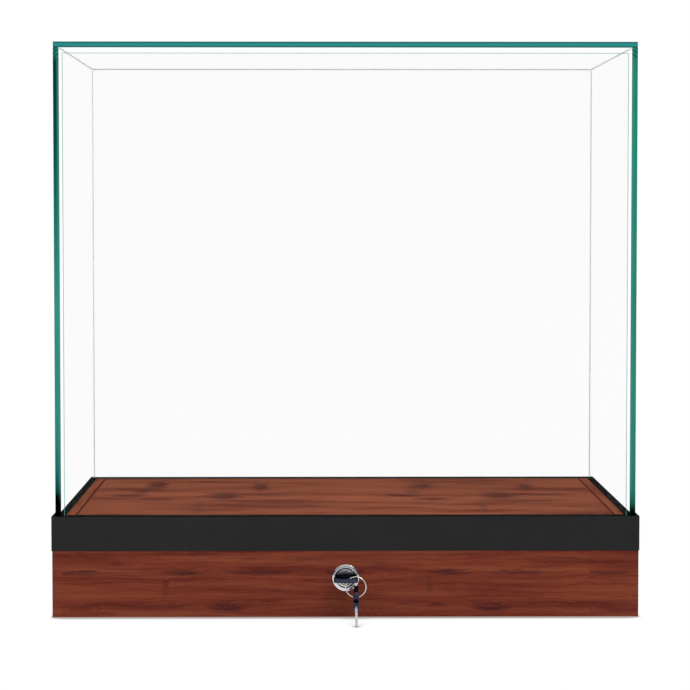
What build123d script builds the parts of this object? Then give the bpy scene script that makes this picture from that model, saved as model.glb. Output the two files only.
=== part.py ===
"""Countertop display case: a glass cabinet on a wooden base, whose front and deck pull out on slides.

The case stands on the counter plane at z = 0, centred left to right and front to back. The front faces -Y
and +X is to the right. Everything is in millimetres.
"""

from build123d import *
import os
from math import acos, atan2, degrees, hypot

# Overall sizes
case_width = 610.0
case_depth = 406.0
base_height = 70.0          # wood, from the counter to the lower edge of the black band
band_height = 36.0
glass_height = 490.0        # from the top of the band to the top of the glass

# Glass
glass_thickness = 6.0
glass_inset = 3.9           # outer glass face behind the outer band face
glass_arris = 0.5
front_pane_side_gap = 3.2
front_pane_top_gap = 5.5
bond_leg = 1.3

# Aluminium band and glazing channel
band_proud = 0.65           # band face in front of the wood face
rail_wall = 2.0
rail_width = 13.5
front_rail_width = 16.5
rail_web = 3.0
skirt_height = 14.0         # band below the web, over the wood's rebate
rebate_gap = 0.2
rail_edge_radius = 0.6
gasket_base = 2.0
gasket_drop = 0.6           # gasket lips below the top of the band

# Wood
panel_thickness = 18.0
bottom_thickness = 9.0
deck_thickness = 18.0
deck_strip_width = 10.2
deck_seam = 0.7
wood_edge_radius = 0.8
front_panel_lift = 1.0
front_panel_gap = 1.5       # between the front panel and the base behind it
drawer_board_thickness = 12.0
drawer_board_lift = 30.0
drawer_board_end_gap = 33.0

# Running gaps
glass_slide_gap = 0.5
deck_back_gap = 1.0
band_slide_gap = 0.3
ball_gap = 0.1
seat_gap = 0.3

# Telescopic slides
slide_height = 45.0
slide_width = 12.7
slide_sheet = 1.2
slide_start = 3.0           # behind the front edge of the base
slide_end_gap = 14.2        # between the slide's end and the back panel
slide_top_gap = 4.5         # between the slide and the rail's web
slide_outer_reach = 10.0
slide_middle_height = 37.6
slide_middle_start = 2.2
slide_middle_reach = 9.8
slide_inner_height = 30.0
slide_inner_reach = 5.1
cage_length = 100.0
cage_sheet = 0.4
cage_strip = 0.8
ball_count = 8
outer_cage_start = 170.0    # behind the front end of the slide
inner_cage_start = 120.0

# Lock and its keeper
lock_height = 42.0
bezel_radius = 14.3
bezel_proud = 3.0
bezel_face_radius = 12.3
bezel_dish_radius = 9.4
bezel_dish_depth = 1.2
sleeve_radius = 11.0
sleeve_gap = 0.15
sleeve_length = 29.0        # behind the face of the front panel
plug_radius = 8.0
plug_gap = 0.06
plug_recess = 1.2
plug_tail = 7.0
keyway_gap = 0.15
nut_width = 27.0
nut_thickness = 4.0
cam_length = 24.0
cam_width = 14.0
cam_thickness = 2.0
cam_gap = 0.3
cam_screw_radius = 4.5
cam_screw_head = 2.5
cam_screw_depth = 2.0
keeper_sheet = 2.0
keeper_width = 60.0
keeper_height = 17.0
keeper_depth = 26.0
keeper_cam_gap = 0.6
keeper_screw_length = 8.0

# Keys
key_head_width = 25.0
key_head_length = 25.0
key_head_thickness = 4.4
key_boss_thickness = 5.8
key_boss_width = 15.0
key_neck_length = 5.0
key_neck_width = 11.0
key_slot_length = 16.2
key_slot_width = 5.5
key_slot_rim = 4.5          # from the slot to the end of the head
key_blade_length = 31.0
key_blade_width = 7.5
key_blade_thickness = 2.4
key_tip_length = 4.5
key_tongue = 8.0            # blade root inside the plastic head
key_cut_pitch = 4.0
key_cut_depth = 1.6
key_cut_count = 5
key_groove_width = 1.6
key_groove_depth = 0.5
key_seat_gap = 0.3
ring_radius = 10.3
ring_wire_radius = 0.75
counter_gap = 0.3           # between the spare key's tip and the counter

# Fasteners
csk_head_radius = 4.0
csk_head_depth = 2.4
csk_shank_radius = 1.9
csk_length = 20.0
pan_head_radius = 4.0
pan_head_height = 1.8
pan_shank_radius = 1.6
pan_length = 11.0
screw_hole_gap = 0.05
recess_length = 4.4
recess_width = 1.0
recess_depth = 1.1
rail_screw_end = 50.0
slide_screw_end = 28.0
bracket_leg = 20.0
bracket_height = 35.0
bracket_sheet = 2.0
bracket_screw_spacing = 20.0
buffer_radius = 4.0
buffer_thickness = 1.2
buffer_height = 35.0

# Places worked out from the sizes above
half_width = case_width / 2
front = -case_depth / 2
back = case_depth / 2
band_bottom = base_height
band_top = base_height + band_height
web_bottom = band_bottom + skirt_height
web_top = web_bottom + rail_web
deck_top = web_top + deck_thickness
glass_seat = web_top + gasket_base
glass_top = band_top + glass_height
roof_bottom = glass_top - glass_thickness
glass_inner_inset = glass_inset + glass_thickness
pane_half = half_width - glass_inset
inner_half = half_width - glass_inner_inset
pane_front = front + glass_inset
pane_back = back - glass_inset
front_pane_half = inner_half - front_pane_side_gap
gasket_inner_leg = rail_width - rail_wall - glass_inner_inset
front_gasket_inner_leg = front_rail_width - rail_wall - glass_inner_inset
cope_back = front + front_rail_width + glass_slide_gap
wood_front = front + band_proud
front_panel_back = wood_front + panel_thickness
base_front = front_panel_back + front_panel_gap
base_back = back - band_proud
panel_outer = half_width - band_proud
panel_inner = panel_outer - panel_thickness
strip_outer = half_width - rail_width
strip_inner = strip_outer - deck_strip_width
deck_half = strip_inner - deck_seam
deck_front = front + front_rail_width
deck_back = back - rail_width - deck_back_gap
front_rail_half = inner_half - glass_slide_gap
drawer_outer = panel_inner - slide_width
drawer_inner = drawer_outer - drawer_board_thickness
drawer_back = back - drawer_board_end_gap
slide_front = base_front + slide_start
slide_length = base_back - panel_thickness - slide_end_gap - slide_front
slide_center_height = web_bottom - slide_top_gap - slide_height / 2
bezel_face = wood_front - bezel_proud
plug_face = bezel_face + plug_recess
sleeve_back = wood_front + sleeve_length
cam_front = sleeve_back + cam_gap
cam_back = cam_front + cam_thickness
key_shoulder = plug_face - key_seat_gap
key_slot_center = key_head_length - key_slot_rim - key_slot_width / 2
ring_plane = key_shoulder - key_slot_center
ring_top = lock_height + key_head_thickness / 2 + seat_gap + ring_wire_radius
ring_center_height = ring_top - ring_radius
ring_side = (key_slot_length / 2 + key_head_width / 2) / 2
spare_pivot_height = ring_center_height - ring_radius
spare_pivot_from_end = key_slot_rim + ring_wire_radius + seat_gap


def block(low, high):
    """A box from its lowest corner to its highest corner."""
    size = [b - a for a, b in zip(low, high)]
    middle = [(a + b) / 2 for a, b in zip(low, high)]
    return Pos(*middle) * Box(*size)


def mirrored(shape):
    """The left-hand copy of a right-hand piece."""
    return mirror(shape, about=Plane.YZ)


def pane(low, high):
    """A sheet of glass with its arrises taken off all round."""
    body = block(low, high)
    return chamfer(body.edges(), glass_arris)


def cross_recess(height):
    """The cross that a screwdriver turns, sunk from the given height."""
    arm = Box(recess_length, recess_width, 2 * recess_depth)
    other = Box(recess_width, recess_length, 2 * recess_depth)
    return Pos(0, 0, height) * (arm + other)


def countersunk_screw():
    """Head flush at z = 0, shank along -Z."""
    head = Pos(0, 0, -csk_head_depth / 2) * Cone(csk_shank_radius, csk_head_radius, csk_head_depth)
    shank = Pos(0, 0, -csk_length / 2) * Cylinder(csk_shank_radius, csk_length)
    return head + shank - cross_recess(0)


def countersunk_hole():
    """The space that a countersunk screw needs."""
    gap = screw_hole_gap
    mouth = csk_head_radius + gap
    head = Pos(0, 0, -csk_head_depth / 2) * Cone(csk_shank_radius + gap, mouth, csk_head_depth)
    shank = Pos(0, 0, -csk_length / 2) * Cylinder(csk_shank_radius + gap, csk_length + gap)
    return head + shank


def pan_screw(length=pan_length):
    """Head above z = 0, shank along -Z."""
    head = Pos(0, 0, pan_head_height / 2) * Cylinder(pan_head_radius, pan_head_height)
    head = fillet(head.edges().group_by(Axis.Z)[-1], pan_head_height / 3)
    shank = Pos(0, 0, -length / 2) * Cylinder(pan_shank_radius, length)
    return head + shank - cross_recess(pan_head_height)


def pan_hole(length=pan_length):
    """The space that a pan-head screw's shank needs."""
    gap = screw_hole_gap
    return Pos(0, 0, -length / 2) * Cylinder(pan_shank_radius + gap, length + gap)


def along_lock(radius, low, high):
    """A cylinder on the lock's axis, from one y to another."""
    return Pos(0, (low + high) / 2, lock_height) * Rot(90, 0, 0) * Cylinder(radius, high - low)


def placed(shape, places):
    """Copies of one fastener or hole, one at each place."""
    return [place * shape for place in places]


def both_sides(shapes):
    """The right-hand shapes with their left-hand copies."""
    return shapes + [mirrored(shape) for shape in shapes]


def drilled(body, tools):
    """The body with each tool's space taken out."""
    for tool in tools:
        body = body - tool
    return body


def spread(low, high, count):
    """Evenly spaced values from low to high."""
    step = (high - low) / (count - 1)
    return [low + step * i for i in range(count)]


# Screw places, shared by the screws and by the holes they go in; those at a side are the right-hand ones
screw_line_inset = (rail_wall + glass_inner_inset) / 2
side_rail_screws = [
    Pos(half_width - screw_line_inset, y, web_top)
    for y in spread(base_front + rail_screw_end, back - rail_screw_end, 3)
]
screw_xs = spread(-panel_inner + rail_screw_end, panel_inner - rail_screw_end, 4)
back_rail_screws = [Pos(x, back - screw_line_inset, web_top) for x in screw_xs]
front_rail_screws = [Pos(x, front + screw_line_inset, web_top) for x in screw_xs]
slide_screw_ys = [slide_front + slide_screw_end, slide_front + slide_length - slide_screw_end]
case_slide_screws = [
    Pos(panel_inner - slide_sheet, y, slide_center_height) * Rot(0, -90, 0) for y in slide_screw_ys
]
drawer_slide_screws = [
    Pos(drawer_outer + slide_sheet, y, slide_center_height) * Rot(0, 90, 0) for y in slide_screw_ys
]
keeper_face = cam_front - keeper_cam_gap
keeper_front = keeper_face - keeper_sheet
keeper_screw_places = [
    Pos(x, keeper_face + keeper_depth / 2, bottom_thickness + keeper_sheet)
    for x in (-keeper_width / 4, keeper_width / 4)
]
bracket_face = front_panel_back + bracket_sheet
bracket_heights = [
    slide_center_height - bracket_screw_spacing / 2,
    slide_center_height + bracket_screw_spacing / 2,
]
bracket_front_screws = [
    Pos(drawer_inner - bracket_leg / 2, bracket_face, z) * Rot(-90, 0, 0) for z in bracket_heights
]
bracket_side_screws = [
    Pos(drawer_inner - bracket_sheet, front_panel_back + bracket_leg / 2, z) * Rot(0, -90, 0)
    for z in bracket_heights
]


def base_side_panel():
    """The right side of the base, rebated at the top for the band's skirt."""
    skirt = rail_wall + rebate_gap
    body = block((panel_inner, base_front, 0), (panel_outer, base_back, band_bottom))
    body = fillet(body.edges().filter_by(Axis.Z).group_by(Axis.Y)[-1], wood_edge_radius)
    top = block((panel_inner, base_front, band_bottom), (half_width - skirt, back - skirt, web_bottom))
    holes = placed(countersunk_hole(), side_rail_screws) + placed(pan_hole(), case_slide_screws)
    return drilled(body + top, holes)


def base_back_panel():
    """The back of the base, between its sides."""
    skirt = rail_wall + rebate_gap
    inside = base_back - panel_thickness
    body = block((-panel_inner, inside, 0), (panel_inner, base_back, band_bottom))
    top = block((-panel_inner, inside, band_bottom), (panel_inner, back - skirt, web_bottom))
    return drilled(body + top, placed(countersunk_hole(), back_rail_screws))


def base_bottom_panel():
    """The floor of the base, flush with the counter."""
    body = block((-panel_inner, base_front, 0), (panel_inner, base_back - panel_thickness, bottom_thickness))
    return drilled(body, placed(pan_hole(keeper_screw_length), keeper_screw_places))


def keeper_bracket():
    """The steel angle that the lock's cam turns down behind."""
    half = keeper_width / 2
    floor = bottom_thickness
    foot = block((-half, keeper_front, floor), (half, keeper_face + keeper_depth, floor + keeper_sheet))
    wall = block((-half, keeper_front, floor), (half, keeper_face, floor + keeper_height))
    return drilled(foot + wall, placed(pan_hole(keeper_screw_length), keeper_screw_places))


def rounded_wall(low, high):
    """An upright band wall with its top edges eased."""
    body = block(low, high)
    longest = Axis.X if high[0] - low[0] > high[1] - low[1] else Axis.Y
    return fillet(body.edges().filter_by(longest).group_by(Axis.Z)[-1], rail_edge_radius)


def corner_wedge(near_side):
    """The plan area on one side of the mitre at the back right corner."""
    reach = rail_width + deck_strip_width + panel_thickness
    across = (half_width, back)
    inside = (half_width - reach, back - reach)
    outer = (half_width + reach, back - reach) if near_side else (half_width - reach, back + reach)
    far = (half_width + reach, back + reach)
    points = [across, inside, outer, far]
    sketch = make_face(Polyline(*points, close=True))
    return Pos(0, 0, band_bottom - band_height) * extrude(sketch, amount=3 * band_height)


def side_rail():
    """The right glazing channel: outer band, web that also carries the deck strip, and inner lip."""
    start = front + rail_wall + band_slide_gap
    outer = rounded_wall((half_width - rail_wall, start, band_bottom), (half_width, back, band_top))
    web = block((strip_inner + seat_gap, start, web_bottom), (half_width - rail_wall, back, web_top))
    lip = rounded_wall((strip_outer, start, web_top), (strip_outer + rail_wall, back, band_top))
    cope = block((0, front, web_bottom), (inner_half, cope_back, band_top))
    ledge_back = front_panel_back + glass_slide_gap
    ledge_cope = block((0, front, web_bottom), (inner_half, ledge_back, web_top))
    ease = block((inner_half, front, 0), (half_width, base_front, band_bottom + glass_slide_gap))
    body = outer + web + lip - corner_wedge(False) - cope - ledge_cope - ease
    return drilled(body, placed(countersunk_hole(), side_rail_screws))


def back_rail():
    """The back glazing channel, mitred to the side channels."""
    outer = rounded_wall((-half_width, back - rail_wall, band_bottom), (half_width, back, band_top))
    web = block((-half_width, back - rail_width, web_bottom), (half_width, back - rail_wall, web_top))
    lip_front = back - rail_width
    lip = rounded_wall((-half_width, lip_front, web_top), (half_width, lip_front + rail_wall, band_top))
    wedge = corner_wedge(True)
    body = outer + web + lip - wedge - mirrored(wedge)
    return drilled(body, placed(countersunk_hole(), back_rail_screws))


def front_rail():
    """The front band and its channel, which travel with the deck."""
    half = front_rail_half
    outer = rounded_wall((-half_width, front, band_bottom), (half_width, front + rail_wall, band_top))
    web = block((-half, front + rail_wall, web_bottom), (half, front_panel_back, web_top))
    lip = rounded_wall((-half, deck_front - rail_wall, web_top), (half, deck_front, band_top))
    return drilled(outer + web + lip, placed(countersunk_hole(), front_rail_screws))


def side_gasket():
    """The U-shaped glazing seal of the right pane, closed round the pane's back edge."""
    top = band_top - gasket_drop
    outside = half_width - rail_wall
    leg_inner = inner_half - gasket_inner_leg
    ends = back - rail_wall
    base = block((inner_half, pane_front, web_top), (outside, ends, glass_seat))
    outer_leg = block((pane_half, pane_front, glass_seat), (outside, ends, top))
    end_leg = block((inner_half, pane_back, glass_seat), (pane_half, ends, top))
    inner_end = back - glass_inner_inset - gasket_inner_leg
    inner_leg = block((leg_inner, cope_back, web_top), (inner_half, inner_end, top))
    return base + outer_leg + end_leg + inner_leg


def back_gasket():
    """The U-shaped glazing seal of the back pane."""
    top = band_top - gasket_drop
    ends = back - rail_wall
    leg_front = back - glass_inner_inset - gasket_inner_leg
    base = block((-inner_half, leg_front, web_top), (inner_half, ends, glass_seat))
    outer_leg = block((-inner_half, pane_back, glass_seat), (inner_half, ends, top))
    inner_leg = block((-inner_half, leg_front, glass_seat), (inner_half, pane_back - glass_thickness, top))
    return base + outer_leg + inner_leg


def front_gasket():
    """The U-shaped glazing seal of the front pane."""
    top = band_top - gasket_drop
    half = front_rail_half
    pane_inner = pane_front + glass_thickness
    leg_back = pane_inner + front_gasket_inner_leg
    base = block((-half, front + rail_wall, web_top), (half, leg_back, glass_seat))
    outer_leg = block((-half, front + rail_wall, glass_seat), (half, pane_front, top))
    inner_leg = block((-half, pane_inner, glass_seat), (half, leg_back, top))
    return base + outer_leg + inner_leg


def upright_prism(corners, low, high):
    """A prism over a plan outline."""
    return Pos(0, 0, low) * extrude(make_face(Polyline(*corners, close=True)), amount=high - low)


def bond_right():
    """Adhesive along the right pane's top edge and down its back corner."""
    inner_back = pane_back - glass_thickness
    section = [
        (inner_half, roof_bottom),
        (inner_half - bond_leg, roof_bottom),
        (inner_half, roof_bottom - bond_leg),
    ]
    along = extrude(Plane.XZ * make_face(Polyline(*section, close=True)), amount=inner_back - pane_front)
    along = Pos(0, inner_back, 0) * along
    plan = [
        (inner_half, inner_back),
        (inner_half - bond_leg, inner_back),
        (inner_half, inner_back - bond_leg),
    ]
    down = upright_prism(plan, band_top + seat_gap, roof_bottom)
    return along + down


def bond_back():
    """Adhesive along the back pane's top edge, between the two side runs."""
    inner_back = pane_back - glass_thickness
    section = [
        (inner_back, roof_bottom),
        (inner_back - bond_leg, roof_bottom),
        (inner_back, roof_bottom - bond_leg),
    ]
    half = inner_half - bond_leg
    return Pos(-half, 0, 0) * extrude(Plane.YZ * make_face(Polyline(*section, close=True)), amount=2 * half)


def slide_member(web_low, web_high, reach_low, reach_high, height):
    """One rolled member: an upright web and a flange at its top and bottom, from low x to high x."""
    low = slide_front
    high = slide_front + slide_length
    half = height / 2
    z = slide_center_height
    body = block((web_low, low, z - half), (web_high, high, z + half))
    body = body + block((reach_low, low, z - half), (reach_high, high, z - half + slide_sheet))
    return body + block((reach_low, low, z + half - slide_sheet), (reach_high, high, z + half))


def slide_outer():
    """The right slide's fixed member, a channel open towards the drawer."""
    reach = panel_inner - slide_outer_reach
    body = slide_member(panel_inner - slide_sheet, panel_inner, reach, panel_inner, slide_height)
    return drilled(body, placed(pan_hole(), case_slide_screws))


def slide_middle():
    """The right slide's middle member, an H between the two others."""
    low = panel_inner - slide_middle_reach
    high = panel_inner - slide_middle_start
    web = (low + high) / 2
    return slide_member(web - slide_sheet / 2, web + slide_sheet / 2, low, high, slide_middle_height)


def slide_inner():
    """The right slide's drawer member, a channel open towards the case."""
    reach = drawer_outer + slide_inner_reach
    body = slide_member(drawer_outer, drawer_outer + slide_sheet, drawer_outer, reach, slide_inner_height)
    return drilled(body, placed(pan_hole(), drawer_slide_screws))


def ball_cage(start, web_high, track_half, reach, ball_radius, ball_depth):
    """A U-shaped retainer with its balls, which run above and below the slide's centre by track_half.

    web_high is the web's face nearer to the side panel. The cage's strips go inward from there by reach.
    """
    low = slide_front + start
    high = low + cage_length
    z = slide_center_height
    body = block((web_high - cage_sheet, low, z - track_half), (web_high, high, z + track_half))
    for side in (-1, 1):
        center = z + side * track_half
        strip = Pos(0, 0, center) * block(
            (web_high - reach, low, -cage_strip / 2), (web_high, high, cage_strip / 2)
        )
        body = body + strip
        for y in spread(low + ball_radius * 4, high - ball_radius * 4, ball_count):
            body = body + Pos(web_high - ball_depth, y, center) * Sphere(ball_radius)
    return body


def outer_cage():
    """Balls between the fixed member and the middle member."""
    gap_low = slide_middle_height / 2
    gap_high = slide_height / 2 - slide_sheet
    track = (gap_low + gap_high) / 2
    radius = (gap_high - gap_low) / 2 - ball_gap
    web_high = panel_inner - slide_sheet - seat_gap
    reach = slide_outer_reach - 2 * slide_sheet
    return ball_cage(outer_cage_start, web_high, track, reach, radius, slide_outer_reach / 2)


def inner_cage():
    """Balls between the middle member and the drawer member."""
    gap_low = slide_inner_height / 2
    gap_high = slide_middle_height / 2 - slide_sheet
    track = (gap_low + gap_high) / 2
    radius = (gap_high - gap_low) / 2 - ball_gap
    web_x = panel_inner - (slide_middle_start + slide_middle_reach) / 2
    web_high = web_x - slide_sheet / 2 - seat_gap
    reach = web_high - drawer_outer - slide_sheet - seat_gap
    return ball_cage(inner_cage_start, web_high, track, reach, radius, reach / 2)


def front_panel():
    """The wooden front, rebated at the top for the band, with the lock's hole."""
    skirt = rail_wall + rebate_gap
    body = block((-panel_outer, wood_front, front_panel_lift), (panel_outer, front_panel_back, band_bottom))
    body = fillet(body.edges().filter_by(Axis.Z), wood_edge_radius)
    half = front_rail_half
    top = block((-half, front + skirt, band_bottom), (half, front_panel_back, web_bottom))
    hole = along_lock(sleeve_radius + sleeve_gap, wood_front - panel_thickness, front_panel_back)
    bracket_holes = both_sides(placed(pan_hole(), bracket_front_screws))
    return drilled(body + top - hole, placed(countersunk_hole(), front_rail_screws) + bracket_holes)


def deck_panel():
    """The display deck, with its top edges eased."""
    body = block((-deck_half, deck_front, web_top), (deck_half, deck_back, deck_top))
    return fillet(body.edges().group_by(Axis.Z)[-1], wood_edge_radius)


def deck_strip():
    """The fixed strip of deck beside the right channel."""
    body = block((strip_inner, cope_back, web_top), (strip_outer, back - rail_width, deck_top))
    return fillet(body.edges().filter_by(Axis.Y).group_by(Axis.Z)[-1], deck_seam / 2)


def drawer_side():
    """The right board under the deck, which the slide carries."""
    body = block((drawer_inner, front_panel_back, drawer_board_lift), (drawer_outer, drawer_back, web_top))
    return drilled(body, placed(pan_hole(), drawer_slide_screws + bracket_side_screws))


def drawer_back_board():
    """The board that ties the two drawer sides together at the back."""
    start = drawer_back - drawer_board_thickness
    return block((-drawer_inner, start, drawer_board_lift), (drawer_inner, drawer_back, web_top))


def front_bracket():
    """The right steel angle between the front panel and the drawer side."""
    low = slide_center_height - bracket_height / 2
    high = slide_center_height + bracket_height / 2
    leg_end = front_panel_back + bracket_leg
    face = block((drawer_inner - bracket_leg, front_panel_back, low), (drawer_inner, bracket_face, high))
    side = block((drawer_inner - bracket_sheet, front_panel_back, low), (drawer_inner, leg_end, high))
    return drilled(face + side, placed(pan_hole(), bracket_front_screws + bracket_side_screws))


def turned(points):
    """A solid of revolution about the lock's axis, from (radius, y) points."""
    sketch = make_face(Polyline(*points, close=True))
    return Pos(0, 0, lock_height) * revolve(sketch, axis=Axis.Y)


def lock_housing():
    """Bezel and sleeve of the lock, bored for the plug."""
    edge = bezel_radius - bezel_face_radius
    bore = plug_radius + plug_gap
    points = [
        (bore, sleeve_back),
        (bore, bezel_face + bezel_dish_depth),
        (bezel_dish_radius, bezel_face + bezel_dish_depth),
        (bezel_dish_radius + bezel_dish_depth / 2, bezel_face),
        (bezel_face_radius, bezel_face),
        (bezel_radius - edge / 4, bezel_face + edge / 3),
        (bezel_radius, bezel_face + edge),
        (bezel_radius, wood_front),
        (sleeve_radius, wood_front),
        (sleeve_radius, sleeve_back),
    ]
    return turned(points)


def lock_nut():
    """The hexagon nut that draws the housing to the back of the front panel."""
    hexagon = extrude(RegularPolygon(nut_width / 2, 6, major_radius=False), amount=nut_thickness)
    bore = Pos(0, 0, nut_thickness / 2) * Cylinder(sleeve_radius + plug_gap, 2 * nut_thickness)
    return Pos(0, front_panel_back + nut_thickness, lock_height) * Rot(90, 0, 0) * (hexagon - bore)


def lock_plug():
    """The turning core, with its keyway and the square tail that drives the cam."""
    core = along_lock(plug_radius, plug_face, sleeve_back)
    core = chamfer(core.edges().group_by(Axis.Y)[0], glass_arris)
    half = plug_tail / 2
    tail = block((-half, sleeve_back, lock_height - half), (half, cam_back, lock_height + half))
    wide = key_blade_width / 2 + keyway_gap
    high = key_blade_thickness / 2 + keyway_gap
    keyway_end = plug_face + key_blade_length + keyway_gap
    keyway = block(
        (-wide, plug_face - key_neck_length, lock_height - high), (wide, keyway_end, lock_height + high)
    )
    thread = along_lock(pan_shank_radius + screw_hole_gap, cam_back - cam_screw_depth, cam_back)
    return core + tail - keyway - thread


def lock_cam():
    """The tongue that turns down behind the keeper; it points to the right while the case is unlocked."""
    hub = along_lock(cam_width / 2, cam_front, cam_back)
    half = cam_width / 2
    tongue = block((0, cam_front, lock_height - half), (cam_length, cam_back, lock_height + half))
    tongue = fillet(tongue.edges().filter_by(Axis.Y).group_by(Axis.X)[-1], cam_width / 4)
    side = plug_tail / 2 + screw_hole_gap
    square = block((-side, cam_front, lock_height - side), (side, cam_back, lock_height + side))
    return hub + tongue - square


def lock_cam_screw():
    """The screw that holds the cam on the plug's tail."""
    head = along_lock(cam_screw_radius, cam_back, cam_back + cam_screw_head)
    return head + along_lock(pan_shank_radius, cam_back - cam_screw_depth + seat_gap, cam_back)


def key_head():
    """A key's plastic head in the key's own frame: shoulder at the origin, blade along +Y, flat on XY."""
    bow_length = key_head_length - key_neck_length
    bow = Pos(0, -key_neck_length - bow_length / 2, 0) * Box(key_head_width, bow_length, key_head_thickness)
    bow = fillet(bow.edges().filter_by(Axis.Z), bow_length / 4)
    bow = fillet(bow.edges().group_by(Axis.Z)[-1] + bow.edges().group_by(Axis.Z)[0], key_head_thickness / 5)
    boss_length = key_slot_center - key_slot_width / 2 - key_slot_rim / 4
    pad_length = boss_length - key_neck_length
    pad = Pos(0, -key_neck_length - pad_length / 2, 0) * Box(key_boss_width, pad_length, key_boss_thickness)
    pad = fillet(pad.edges().filter_by(Axis.Z), pad_length / 5)
    neck_overlap = pad_length / 2
    neck = block(
        (-key_neck_width / 2, -key_neck_length - neck_overlap, -key_boss_thickness / 2),
        (key_neck_width / 2, 0, key_boss_thickness / 2),
    )
    neck = fillet(neck.edges().filter_by(Axis.Z).group_by(Axis.Y)[-1], key_neck_length / 4)
    boss = pad + neck
    slot = Pos(0, -key_slot_center, 0) * extrude(
        SlotOverall(key_slot_length, key_slot_width), amount=key_boss_thickness, both=True
    )
    tongue = block(
        (-key_blade_width / 2, -key_tongue, -key_blade_thickness / 2),
        (key_blade_width / 2, 0, key_blade_thickness / 2),
    )
    return bow + boss - slot - tongue


def key_blade():
    """A key's blade in the key's own frame, pointed, grooved and cut along one edge."""
    half = key_blade_width / 2
    straight = key_blade_length - key_tip_length
    outline = [
        (-half, -key_tongue),
        (half, -key_tongue),
        (half, straight),
        (0, key_blade_length),
        (-half, straight),
    ]
    sketch = make_face(Polyline(*outline, close=True))
    blade = extrude(sketch, amount=key_blade_thickness / 2, both=True)
    for i in range(key_cut_count):
        y = straight - key_cut_pitch * (i + 0.5)
        depth = key_cut_depth * (1 if i % 2 else 0.6)
        notch = [
            (half + 1, y - key_cut_pitch / 2),
            (half, y - key_cut_pitch / 2),
            (half - depth, y),
            (half, y + key_cut_pitch / 2),
            (half + 1, y + key_cut_pitch / 2),
        ]
        tool = extrude(make_face(Polyline(*notch, close=True)), amount=key_blade_thickness, both=True)
        blade = blade - tool
    for side in (-1, 1):
        z = side * key_blade_thickness / 2
        groove = Pos(-half / 3, key_blade_length / 2, z) * Box(
            key_groove_width, key_blade_length + key_neck_length, 2 * key_groove_depth
        )
        blade = blade - groove
    return blade


def key_ring():
    """The split ring's wire, hanging on the right of the inserted key's head."""
    ring = Torus(ring_radius, ring_wire_radius)
    return Pos(ring_side, ring_plane, ring_center_height) * Rot(90, 0, 0) * ring


def spare_lean():
    """Angle from hanging straight down at which the spare key's lowest point clears the counter."""
    reach = key_head_length + key_blade_length - spare_pivot_from_end
    drop = spare_pivot_height - counter_gap
    by_tip = acos(drop / reach)
    along = reach - key_tip_length
    across = key_blade_width / 2
    by_edge = atan2(across, along) + acos(drop / hypot(along, across))
    return degrees(max(by_tip, by_edge))


def hung_spare(shape):
    """The spare key turned on edge, hung on the ring's lowest point and leaning forward onto the counter."""
    pivot_to_shoulder = key_head_length - spare_pivot_from_end
    hanging = Rot(-90, 0, 0) * Rot(0, 90, 0) * shape
    hanging = Pos(0, 0, -pivot_to_shoulder) * hanging
    return Pos(ring_side, ring_plane, spare_pivot_height) * Rot(-spare_lean(), 0, 0) * hanging


def inserted_key(shape):
    """The key in the lock, seated against the plug."""
    return Pos(0, key_shoulder, lock_height) * shape


def front_buffer():
    """The right rubber button on the base's front edge that the front panel closes against."""
    x = (panel_inner + panel_outer) / 2
    return Pos(x, base_front - buffer_thickness / 2, buffer_height) * Rot(90, 0, 0) * Cylinder(
        buffer_radius, buffer_thickness
    )


def side_pane():
    """The right pane of glass."""
    return pane((inner_half, pane_front, glass_seat), (pane_half, pane_back, roof_bottom))


def back_pane():
    """The back pane, between the side panes."""
    return pane((-inner_half, pane_back - glass_thickness, glass_seat), (inner_half, pane_back, roof_bottom))


def top_pane():
    """The top pane, over the side and back panes."""
    return pane((-pane_half, pane_front, roof_bottom), (pane_half, pane_back, glass_top))


def front_pane():
    """The front pane, which stands in the front channel clear of the others."""
    top = roof_bottom - front_pane_top_gap
    low = (-front_pane_half, pane_front, glass_seat)
    return pane(low, (front_pane_half, pane_front + glass_thickness, top))


def save(name, shape):
    """One file for each sub-part; a list becomes one group of separate solids."""
    if isinstance(shape, list):
        shape = Compound(children=shape)
    export_step(shape, "parts/" + name + ".step")


def save_pair(name, right_shape):
    """The right-hand piece and its left-hand copy, a file for each."""
    save(name + "_right", right_shape)
    save(name + "_left", mirrored(right_shape))


def build_base():
    """The wooden base, which stands on the counter."""
    save("base_right_panel", base_side_panel())
    save("base_left_panel", mirrored(base_side_panel()))
    save("base_back_panel", base_back_panel())
    save("base_bottom_panel", base_bottom_panel())
    save("keeper_bracket", keeper_bracket())
    save("keeper_screws", placed(pan_screw(keeper_screw_length), keeper_screw_places))
    save("front_buffers", both_sides([front_buffer()]))


def build_fixed_glazing():
    """The channels on the base and the four panes that stay with it."""
    save_pair("rail", side_rail())
    save("rail_back", back_rail())
    screws = both_sides(placed(countersunk_screw(), side_rail_screws))
    save("rail_screws", screws + placed(countersunk_screw(), back_rail_screws))
    save_pair("deck_strip", deck_strip())
    save_pair("gasket", side_gasket())
    save("gasket_back", back_gasket())
    save_pair("glass", side_pane())
    save("glass_back", back_pane())
    save("glass_top", top_pane())
    save_pair("glass_bond", bond_right())
    save("glass_bond_back", bond_back())


def build_slides():
    """The two telescopic slides with their ball cages."""
    save_pair("slide_outer", slide_outer())
    save_pair("slide_middle", slide_middle())
    save_pair("slide_inner", slide_inner())
    save_pair("ball_cage_outer", outer_cage())
    save_pair("ball_cage_inner", inner_cage())
    save("slide_case_screws", both_sides(placed(pan_screw(), case_slide_screws)))


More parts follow.
